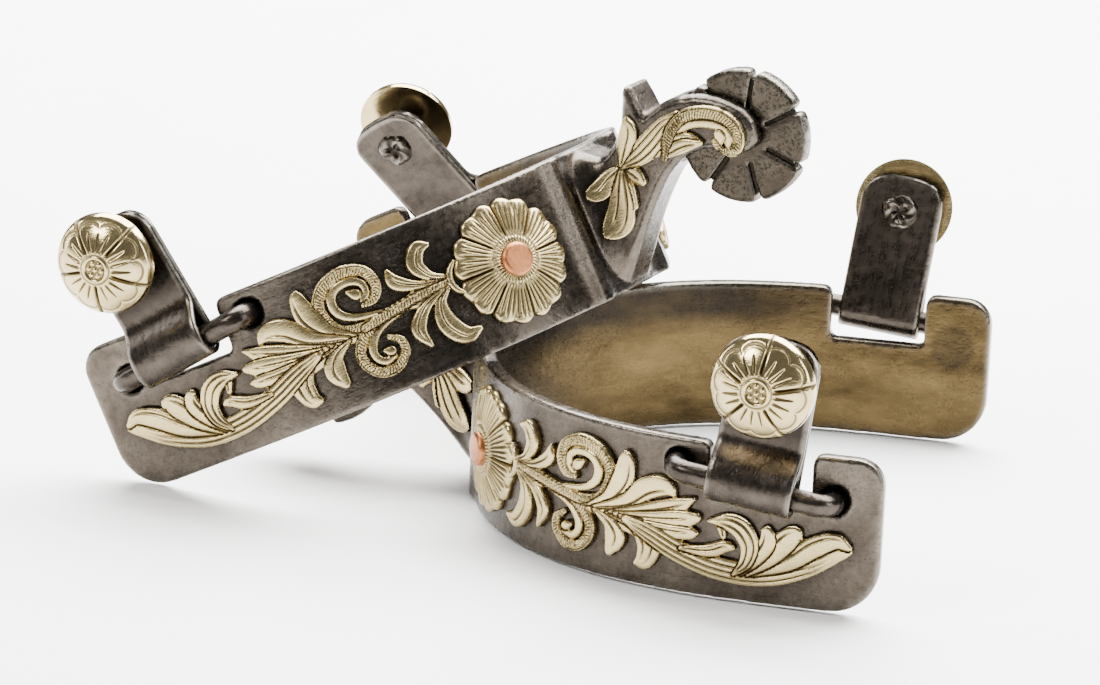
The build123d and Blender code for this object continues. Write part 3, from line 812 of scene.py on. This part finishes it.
def lathe(profile, spokes):
    """A turned solid from (radius, height) rows that start and end on the axis."""
    rows = np.asarray(profile, float)
    rings = [np.insert(circle((0, 0), radius, spokes), 2, height, axis=1) for radius, height in rows[1:-1]]
    verts = np.vstack([[(0, 0, rows[0][1])]] + rings + [[(0, 0, rows[-1][1])]])
    faces = [(0, 1 + (i + 1) % spokes, 1 + i) for i in range(spokes)]
    for ring in range(len(rings) - 1):
        faces += ring_quads(1 + ring * spokes, 1 + (ring + 1) * spokes, spokes)
    last = 1 + (len(rings) - 1) * spokes
    faces += [(last + i, last + (i + 1) % spokes, len(verts) - 1) for i in range(spokes)]
    return verts, faces


def button_rivet(rest):
    """The neck under the button and the peened tail on the strap's back, cratered by the hammer."""
    back = -STRAP_BACK - STRAP
    front = STRAP - STRAP_BACK
    tail = [(0, -0.15), (0.5, -0.18), (0.9, -0.3), (1.3, -0.5), (1.7, -0.66), (2.1, -0.72), (2.5, -0.62),
            (2.8, -0.42), (3.05, -0.12), (3.1, 0.05), (2.3, 0.1)]
    profile = [(radius, back + height) for radius, height in tail]
    profile += [(2.3, front + 0.02), (2.9, front + 0.15), (2.4, front + 0.6), (2.15, front + 1.6),
                (2.2, front + NECK_LENGTH - 0.6), (2.6, front + NECK_LENGTH), (0, front + NECK_LENGTH)]
    verts, faces = lathe(profile, 64)
    turn = np.arctan2(verts[:, 1], verts[:, 0])
    radius = np.hypot(verts[:, 0], verts[:, 1])
    is_tail = verts[:, 2] < back
    rough = 0.22 * np.sin(3 * turn + 0.6) * np.sin(2.2 * radius) + 0.12 * np.sin(7 * turn + 2.4 * radius)
    verts[:, 2] += np.where(is_tail, rough * np.clip(radius, 0, 1), 0)
    swell = np.where(is_tail, 1 + 0.06 * np.sin(3 * turn + 0.6) + 0.04 * np.sin(5 * turn), 1)
    verts[:, :2] *= swell[:, None]
    high = np.clip((back - 0.5 - verts[:, 2]) / 0.3, 0, 1)
    placed = on_bar(np.stack([verts[:, 0], BUTTON_RISE + verts[:, 1], verts[:, 2]], 1), rest)
    # The tail is darker all over except at its high points
    return placed, faces, {"edge": high, "hollow": np.where(is_tail, 0.7 * (1 - high), 0)}


def hanger_path():
    """The folded strap's middle line as (out, up): down in front, joggled in, round the bar, up behind."""
    back = -STRAP_BACK - STRAP / 2
    front = back + STRAP + LEAF_GAP
    radius = STRAP_BACK + STRAP / 2
    joggle_top = 8.0
    path = [(front, up) for up in np.linspace(HANGER_RISE, joggle_top, 14)[:-1]]
    ends = np.array([(front, joggle_top), (front, 4.6), (radius, 4.4), (radius, 0.0)])
    for t in np.linspace(0, 1, 16, endpoint=False):
        weights = np.array([(1 - t) ** 3, 3 * t * (1 - t) ** 2, 3 * t * t * (1 - t), t ** 3])
        path.append(tuple(weights @ ends))
    path += [(radius * math.cos(a), -radius * math.sin(a)) for a in np.linspace(0, math.pi, 26)]
    return np.array(path + [(back, up) for up in np.linspace(0, HANGER_RISE, 20)[1:]])


def hanger(rest):
    """A strap folded round the bar, with a rounded arch for its two ends."""
    path = hanger_path()
    travel = np.concatenate([[0], np.cumsum(np.linalg.norm(np.diff(path, axis=0), axis=1))])
    whole = travel[-1]
    half = HANGER_WIDTH / 2
    section = rounded([(x * half, y * STRAP / 2, 0.3) for x, y in ((-1, -1), (1, -1), (1, 1), (-1, 1))], 0.7)
    across = section[:, 0]
    arch = 0.022 * across ** 2 + rounding(half - np.abs(across), HANGER_CORNER)
    near_end = np.array([0, 0.15, 0.4])
    rows = np.concatenate([near_end, np.linspace(0.9, whole - 0.9, 118), whole - near_end[::-1]])

    def at(lengths):
        return np.stack([np.interp(lengths, travel, path[:, i]) for i in (0, 1)])

    verts = []
    for row in rows:
        inset = 0.25 * (1 - min(1.0, min(row, whole - row) / 0.4)) ** 2
        along = arch + (whole - 2 * arch) * row / whole
        out, up = at(along)
        ahead = at(along + 0.1) - at(along - 0.1)
        ahead_out, ahead_up = ahead / np.hypot(*ahead)
        thick = section[:, 1] * (1 - inset)
        verts.append(np.stack([across, up + ahead_out * thick, out - ahead_up * thick], 1))
    verts = np.vstack(verts)
    near_edge = np.tile((np.abs(across) > half - 0.5).astype(float), len(rows))
    ends = np.repeat((np.minimum(rows, whole - rows) < 0.5).astype(float), len(section))
    in_front = verts[:, 2] > -STRAP_BACK + LEAF_GAP / 2
    # Painted shade: the front sheet is darkened towards the button, standing in for the dark surroundings it
    # reflects there
    grime_and_shade = 0.8 * np.clip((verts[:, 1] - 6.5) / 3.5, 0, 1) * in_front
    values = {"edge": np.maximum(near_edge, ends), "hollow": grime_and_shade, "flow": np.roll(verts, -1, axis=1)}
    return on_bar(verts, rest), swept_faces(len(rows), len(section)), values


def hanger_bar():
    """A round bar bent into its two holes, with the slight flats of the tool that bent it."""
    half = bar_frame()[-1]
    depth = -(BAR_STANDOFF + 1.6)
    bend = BAR_BEND + 0.3
    rising = [(half, out) for out in np.linspace(depth, -bend, 8)[:-1]]
    quarter = np.linspace(0, math.pi / 2, 12)
    rising += [(half - bend + bend * math.cos(a), -bend + bend * math.sin(a)) for a in quarter]
    straight = [(x, 0.0) for x in np.linspace(half - bend, bend - half, 40)[1:-1]]
    path = np.array(rising + straight + [(-x, out) for x, out in reversed(rising)])
    ahead = np.gradient(path, axis=0)
    ahead /= np.linalg.norm(ahead, axis=1)[:, None]
    spokes = 32
    turns = np.linspace(0, 2 * math.pi, spokes, endpoint=False)
    section = BAR_RADIUS * (1 - 0.018 * (1 + np.cos(6 * turns)))
    verts = []
    for (x, out), (ahead_x, ahead_out) in zip(path, ahead):
        radius = section * (0.93 if out < depth + 0.3 else 1.0)
        aside = radius * np.cos(turns)
        verts.append(np.stack([x - ahead_out * aside, radius * np.sin(turns), out + ahead_x * aside], 1))
    verts = np.vstack(verts)
    return on_bar(verts), flipped(swept_faces(len(path), spokes)), {"edge": np.zeros(len(verts))}


def slot_shade_ring(inner, outer, half, spokes):
    """A dark ring that fills the rowel's slots as painted shade: a ring with square edges, its axis along y.
    """
    edges = ((inner, -half), (outer, -half), (outer, half), (inner, half))
    verts = np.vstack([upright(circle(ROWEL_CENTRE, radius, spokes), y) for radius, y in edges])
    faces = []
    for ring in range(4):
        faces += ring_quads(ring * spokes, (ring + 1) % 4 * spokes, spokes)
    return verts, faces


def rowel_outline():
    """Seven petals round the origin, parted by slots that open in a small V at the rim."""
    slot_half, v_half, slot_from, v_from = 0.27, 0.75, 4.6, 9.9
    corners = []
    for petal in range(ROWEL_PETALS):
        first = math.radians(180 - ROWEL_FIRST_SLOT - petal * 360 / ROWEL_PETALS)
        last = first - 2 * math.pi / ROWEL_PETALS

        def corner(turn, along, aside, radius):
            c, s = math.cos(turn), math.sin(turn)
            corners.append((along * c - aside * s, along * s + aside * c, radius))

        corner(first, slot_from, -slot_half, 0.25)
        corner(first, v_from, -slot_half, 0.6)
        corner(first, ROWEL_RADIUS - 0.1, -v_half, 0.7)
        for share in (0.2, 0.4, 0.6, 0.8):
            corner(first + (last - first) * share, ROWEL_RADIUS, 0, 3.0)
        corner(last, ROWEL_RADIUS - 0.1, v_half, 0.7)
        corner(last, v_from, slot_half, 0.6)
        corner(last, slot_from, slot_half, 0.25)
    return rounded(corners[::-1], 0.3)


def rowel():
    """The petals with bevelled edges, and a dark ring painted as the shade in the slots between them."""
    outline = rowel_outline()
    ahead = np.roll(outline, -1, axis=0) - np.roll(outline, 1, axis=0)
    ahead /= np.linalg.norm(ahead, axis=1)[:, None]
    inward = np.stack([-ahead[:, 1], ahead[:, 0]], 1)
    loops = [outline] + [outline + inward * gap for gap in (0.15, 0.32)]
    flat, faces = filled(loops, [circle((0, 0), 1.65, 48)], 0.5)
    depth = edge_distance(flat, outline)
    thick = ROWEL_THICKNESS / 2 - rounding(depth, 0.55) / 1.1
    flat = flat + ROWEL_CENTRE
    petals = closed_sheet(flat, faces[:, ::-1], lambda p: upright(p, thick), lambda p: upright(p, -thick))
    slot_shade = slot_shade_ring(1.7, 9.7, 1.0, 72)
    count = len(slot_shade[0])
    edge = np.concatenate([np.tile(np.clip(1 - depth / 0.5, 0, 1), 2), np.zeros(count)])
    # Painted shade: the ring in the slots gets the darkest value
    grime_and_shade = np.concatenate([np.zeros(2 * len(flat)), np.ones(count)])
    return *joined(petals, slot_shade), {"edge": edge, "hollow": grime_and_shade}


# ---------------------------------------------------------------- materials


class Nodes:
    """Short ways to add and link shader nodes."""

    def __init__(self, name):
        self.material = bpy.data.materials.new(name)
        self.material.use_nodes = True
        self.tree = self.material.node_tree
        self.shader = self.tree.nodes["Principled BSDF"]
        flow = self.tree.nodes.new("ShaderNodeAttribute")
        flow.attribute_name = "flow"
        self.place = flow.outputs["Vector"]

    def add(self, kind, **inputs):
        node = self.tree.nodes.new(kind)
        for key, value in inputs.items():
            self.put(node, key.replace("_", " "), value)
        return node

    def put(self, node, key, value):
        socket = node.inputs[int(key)] if key.isdigit() else node.inputs[key]
        if isinstance(value, bpy.types.NodeSocket):
            self.tree.links.new(value, socket)
        else:
            socket.default_value = value

    def noise(self, scale, detail=4.0, rough=0.55, stretch=None, distortion=0.0):
        place = self.place
        if stretch:
            mapping = self.add("ShaderNodeMapping", Vector=self.place, Scale=stretch)
            place = mapping.outputs["Vector"]
        node = self.add("ShaderNodeTexNoise", Vector=place, Scale=scale, Detail=detail, Roughness=rough,
                        Distortion=distortion)
        return node.outputs["Fac"]

    def ramp(self, value, *stops):
        node = self.add("ShaderNodeValToRGB", Fac=value)
        ramp = node.color_ramp
        while len(ramp.elements) < len(stops):
            ramp.elements.new(0.5)
        for element, (position, colour) in zip(ramp.elements, stops):
            element.position = position
            element.color = (*colour, 1) if len(colour) == 3 else colour
        return node.outputs["Color"]

    def grey(self, value, low, high, dark=0.0, light=1.0):
        return self.ramp(value, (low, (dark,) * 3), (high, (light,) * 3))

    def mix(self, share, first, second):
        node = self.tree.nodes.new("ShaderNodeMix")
        node.data_type = "RGBA"
        for socket, value in ((node.inputs[0], share), (node.inputs[6], first), (node.inputs[7], second)):
            if isinstance(value, bpy.types.NodeSocket):
                self.tree.links.new(value, socket)
            elif socket.type == "RGBA":
                socket.default_value = (*value, 1)
            else:
                socket.default_value = value
        return node.outputs[2]

    def math(self, operation, first, second=0.0):
        node = self.tree.nodes.new("ShaderNodeMath")
        node.operation = operation
        self.put(node, "0", first)
        self.put(node, "1", second)
        return node.outputs[0]

    def blend(self, *parts):
        """The sum of (value, share) parts."""
        total = self.math("MULTIPLY", *parts[0])
        for part in parts[1:]:
            total = self.math("ADD", total, self.math("MULTIPLY", *part))
        return total

    def value(self, name):
        node = self.tree.nodes.new("ShaderNodeAttribute")
        node.attribute_name = name
        return node.outputs["Fac"]

    def finish(self, colour, rough, bumps, metallic=1.0):
        """bumps are (height, depth in metres) pairs, from coarse to fine."""
        self.put(self.shader, "Base Color", colour)
        self.put(self.shader, "Roughness", rough)
        self.shader.inputs["Metallic"].default_value = metallic
        normal = None
        for height, depth in bumps:
            bump = self.add("ShaderNodeBump", Height=height, Distance=depth)
            if normal:
                self.put(bump, "Normal", normal)
            normal = bump.outputs["Normal"]
        if normal:
            self.put(self.shader, "Normal", normal)
        return self.material


# How far edges are lightened, for wear and as a painted highlight
EDGE_WEAR_AND_HIGHLIGHT = 0.24


def scaled(colour, share):
    return tuple(part * share for part in colour)


def antique_steel(name, dark, light, tan, pits=0.15):
    """Dark browned steel: clouded, brushed, pitted, brighter on edges for wear and as a painted highlight,
    darker with grime, patina and painted shade, bronze inside the band.
    """
    n = Nodes(name)
    cloud = n.noise(110, 5, 0.6, distortion=0.6)
    mottle = n.noise(800, 4, 0.6)
    brushed = n.noise(260, 3, 0.6, stretch=(1.0, 6.0, 9.0))
    outside = n.ramp(n.blend((cloud, 0.62), (mottle, 0.31), (brushed, 0.07)), (0.34, dark), (0.66, light))
    warm = n.ramp(n.noise(60, 5, 0.6, stretch=(1.0, 1.0, 2.6)), (0.3, scaled(tan, 0.4)), (0.55, tan),
                  (0.75, scaled(tan, 1.4)))
    colour = n.mix(n.value("inner"), outside, warm)
    # Darkened where the point values mark grime, stains, patina and painted shade
    grime_and_shade = n.math("MULTIPLY", n.value("hollow"), n.grey(cloud, 0.3, 0.6, 0.75, 0.97))
    colour = n.mix(grime_and_shade, colour, scaled(dark, 0.4))
    # Lighter on edges: wear, and a painted highlight
    worn_and_highlit = n.math("MULTIPLY", n.value("edge"), n.grey(mottle, 0.3, 0.6, 0.5, 1.0))
    colour = n.mix(n.math("MULTIPLY", worn_and_highlit, EDGE_WEAR_AND_HIGHLIGHT), colour, (0.42, 0.38, 0.32))
    pocks = n.math("MULTIPLY", n.grey(n.noise(2300, 2, 0.5), 0.36, 0.44, 1.0, 0.0), n.grey(cloud, 0.42, 0.56))
    colour = n.mix(n.math("MULTIPLY", pocks, pits), colour, scaled(dark, 0.3))
    rough = n.grey(n.blend((brushed, 0.5), (mottle, 0.5)), 0.3, 0.7, 0.22, 0.36)
    sunk = n.math("MULTIPLY", pocks, -pits)
    return n.finish(colour, rough, [(cloud, 0.0002), (brushed, 0.00003), (mottle, 0.00005), (sunk, 0.00012)])


def nickel_silver(name, tone, cut_tone, smooth, rough):
    """Pale yellow metal with brown polish left in the engraving."""
    n = Nodes(name)
    cloud = n.noise(220, 4, 0.6)
    scratch = n.noise(500, 3, 0.6, stretch=(1.0, 1.0, 9.0))
    base = n.ramp(cloud, (0.3, scaled(tone, 0.8)), (0.7, tone))
    cut = n.math("MULTIPLY", n.value("cut"), n.grey(cloud, 0.2, 0.6, 0.85, 1.0))
    colour = n.mix(cut, base, cut_tone)
    shine = n.mix(cut, n.grey(scratch, 0.3, 0.7, smooth, rough), (0.6, 0.6, 0.6))
    return n.finish(colour, shine, [(cloud, 0.00008), (scratch, 0.00002)])


def grained(name, grain, colours, rough, depth, metallic=1.0, by_flow=False):
    """A plain finish with one fine grain, from noise given as (scale, detail, roughness)."""
    n = Nodes(name)
    if not by_flow:
        n.place = n.tree.nodes.new("ShaderNodeTexCoord").outputs["Object"]
    value = n.noise(*grain)
    return n.finish(n.ramp(value, *colours), n.grey(value, 0.3, 0.7, *rough), [(value, depth)], metallic)


UNSEEN = (0.1, 0.08, 0.06)
MATERIALS = {
    "steel": antique_steel("antique_steel", (0.031, 0.025, 0.019), (0.108, 0.09, 0.072),
                           (0.064, 0.044, 0.019)),
    "rowel": antique_steel("rowel_steel", (0.021, 0.017, 0.012), (0.062, 0.052, 0.04), UNSEEN, 0.5),
    "hanger": antique_steel("hanger_steel", (0.022, 0.018, 0.014), (0.072, 0.06, 0.05), UNSEEN, 0.0),
    "silver": nickel_silver("nickel_silver", (0.485, 0.385, 0.19), (0.036, 0.021, 0.006), 0.19, 0.33),
    "polished": nickel_silver("polished_nickel_silver", (0.53, 0.42, 0.21), (0.036, 0.021, 0.006), 0.12, 0.2),
    "copper": grained("copper", (1400, 4, 0.7), ((0.3, (0.29, 0.105, 0.04)), (0.65, (0.45, 0.185, 0.078))),
                      (0.3, 0.48), 0.00008, by_flow=True),
}

# ---------------------------------------------------------------- placing on the frame


def joint(name):
    """The frame's joint of this name."""
    return next(j for j in frame["joints"] if j["name"] == name)


def axes_matrix(axes, origin):
    """A matrix with these axes as its columns and this origin."""
    matrix = Matrix(axes).transposed().to_4x4()
    matrix.translation = origin
    return matrix


def spur_matrix(side):
    """The spur's own frame in the row frame, in metres, from its rowel and hanger joints."""
    wheel = joint(side + "_rowel_spin")
    across = Vector(wheel["axis"]).normalized()
    outer = Vector(joint(side + "_outer_hanger_swing")["pos_m"])
    inner = Vector(joint(side + "_inner_hanger_swing")["pos_m"])
    hub = Vector(wheel["pos_m"])
    along = ((outer + inner) / 2 - hub).normalized()
    rise = along.cross(across)
    tilt = math.atan2(HANGER_MIDDLE[1] - ROWEL_CENTRE[1], HANGER_MIDDLE[0] - ROWEL_CENTRE[0])
    x_axis = along * math.cos(tilt) - rise * math.sin(tilt)
    z_axis = along * math.sin(tilt) + rise * math.cos(tilt)
    origin = hub - (x_axis * ROWEL_CENTRE[0] + z_axis * ROWEL_CENTRE[1]) * MM
    return axes_matrix((x_axis, across, z_axis), origin)


def add_piece(name, shape, matrix, mirrored, material, body, nodes, slot):
    """One visible piece on its spur, with its point values, material, body and CAD nodes; slot is not used.
    """
    verts, faces, values = shape
    points = np.array(verts) * MM
    if mirrored:
        points = points * (1, -1, 1)
        faces = [face[::-1] for face in faces]
    turn = np.array(matrix)
    placed = points @ turn[:3, :3].T + turn[:3, 3]
    piece = object_from(placed, faces, name)
    flow = np.array(values.get("flow", verts)) * MM + 0.31 * len(bpy.data.objects)
    mesh = piece.data
    directions = mesh.attributes.new("flow", "FLOAT_VECTOR", "POINT").data
    directions.foreach_set("vector", flow.astype(np.float32).ravel())
    for key, numbers in values.items():
        if key != "flow":
            points = mesh.attributes.new(key, "FLOAT", "POINT").data
            points.foreach_set("value", np.asarray(numbers, np.float32))
    mesh.materials.append(MATERIALS[material])
    mesh.shade_smooth()
    mesh.set_sharp_from_angle(angle=math.radians(50))
    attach(piece, body)
    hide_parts(*nodes)
    return piece


BODY = spur_body()
ROWEL = rowel()
FIXED_SHAPES = {
    "band_overlay": (band_overlay(), "silver", "nickel_silver"),
    "shank_overlay": (shank_overlay(), "silver", "nickel_silver"),
    "rosette": (rosette(), "silver", "nickel_silver"),
    "rosette_centre": (rosette_centre(), "copper", "copper"),
    "hanger_bar": (hanger_bar(), "hanger", "bar_steel"),
}
HUNG_SHAPES = {
    "hanger": (hanger, "hanger", "hanger_steel"),
    "button": (button, "polished", "nickel_silver"),
    "button_rivet": (button_rivet, "hanger", "rivet_metal"),
}
PIN_STEEL = grained("pin_steel", (900, 4, 0.6), ((0.3, (0.08, 0.07, 0.06)), (0.7, (0.2, 0.175, 0.15))),
                    (0.25, 0.4), 0.00004)

for side, outer_is_left in (("right", False), ("left", True)):
    place = spur_matrix(side)
    add_piece(side + "_band_and_shank", BODY, place, False, "steel", side + "_spur",
              [side + "_heel_band", side + "_shank"], "band_steel")
    add_piece(side + "_petal_rowel", ROWEL, place, False, "rowel", side + "_rowel_wheel",
              [side + "_rowel"], "rowel_steel")
    pin = frame["nodes"][side + "_rowel_pin"].data.materials
    pin.clear()
    pin.append(PIN_STEEL)
    for face in ("outer", "inner"):
        mirrored = (face == "outer") != outer_is_left
        for node, (shape, material, slot) in FIXED_SHAPES.items():
            add_piece(f"{side}_{face}_{node}_look", shape, place, mirrored, material, side + "_spur",
                      [f"{side}_{face}_{node}"], slot)
        for node, (make, material, slot) in HUNG_SHAPES.items():
            shape = make(HANGER_RESTS[f"{side}_{face}"])
            add_piece(f"{side}_{face}_{node}_look", shape, place, mirrored, material,
                      f"{side}_{face}_strap_hanger", [f"{side}_{face}_{node}"], slot)

# ---------------------------------------------------------------- floor, light and camera

FLOOR_HALF = 4.0
FLOOR_GAP = 0.0006
floor_verts = [(x * FLOOR_HALF, y * FLOOR_HALF, 0) for x, y in ((-1, -1), (1, -1), (1, 1), (-1, 1))]
floor = object_from(floor_verts, [(0, 1, 2, 3)], "studio_floor")
floor.location.z = -FLOOR_GAP
floor.data.materials.append(grained("floor_paint", (40, 3, 0.5), ((0.3, (0.93, 0.93, 0.925)),
                                    (0.7, (0.95, 0.95, 0.945))), (0.75, 0.85), 0.0001, metallic=0.0))

CAMERA_AT = (0.21707, -0.91644, 0.29503)
CAMERA_RIGHT = (0.970, 0.240, 0.044)
CAMERA_LOOK = (-0.219, 0.935, -0.279)
LENS_OVER_WIDTH = 5.322
SENSOR = 36.0


def add_camera():
    """The photograph's camera."""
    data = bpy.data.cameras.new("camera")
    data.sensor_width = SENSOR
    data.lens = SENSOR * LENS_OVER_WIDTH
    data.clip_end = 20
    camera = bpy.data.objects.new("camera", data)
    bpy.context.scene.collection.objects.link(camera)
    back = -Vector(CAMERA_LOOK).normalized()
    right = Vector(CAMERA_RIGHT).normalized()
    up = back.cross(right).normalized()
    camera.matrix_world = axes_matrix((up.cross(back), up, back), Vector(CAMERA_AT))
    bpy.context.scene.camera = camera


def add_area(name, place, target, size, power, colour=(1, 1, 1)):
    """A rectangular soft light that faces target."""
    data = bpy.data.lights.new(name, "AREA")
    data.shape = "RECTANGLE"
    data.size, data.size_y = size
    data.energy = power
    data.color = colour
    lamp = bpy.data.objects.new(name, data)
    bpy.context.scene.collection.objects.link(lamp)
    lamp.location = place
    lamp.rotation_euler = (Vector(target) - Vector(place)).to_track_quat("-Z", "Y").to_euler()


def add_world():
    """Dim, slightly cool surroundings."""
    world = bpy.data.worlds.new("studio")
    bpy.context.scene.world = world
    world.use_nodes = True
    background = world.node_tree.nodes["Background"]
    background.inputs["Color"].default_value = (0.85, 0.86, 0.88, 1)
    background.inputs["Strength"].default_value = 0.3


add_camera()
add_world()
MIDDLE = (0.0, 0.0, 0.03)
add_area("back_softbox", (0.05, 0.4, 0.62), (0.0, 0.16, 0.0), (1.1, 0.7), 66.0, (1.0, 0.995, 0.985))
add_area("key_softbox", (-0.5, -0.6, 0.7), MIDDLE, (0.35, 0.3), 9.0, (1.0, 0.985, 0.96))
add_area("right_strip", (0.8, -0.25, 0.3), MIDDLE, (0.12, 0.5), 3.5, (0.97, 0.985, 1.0))
add_area("left_strip", (-0.8, 0.05, 0.25), MIDDLE, (0.1, 0.5), 2.5)
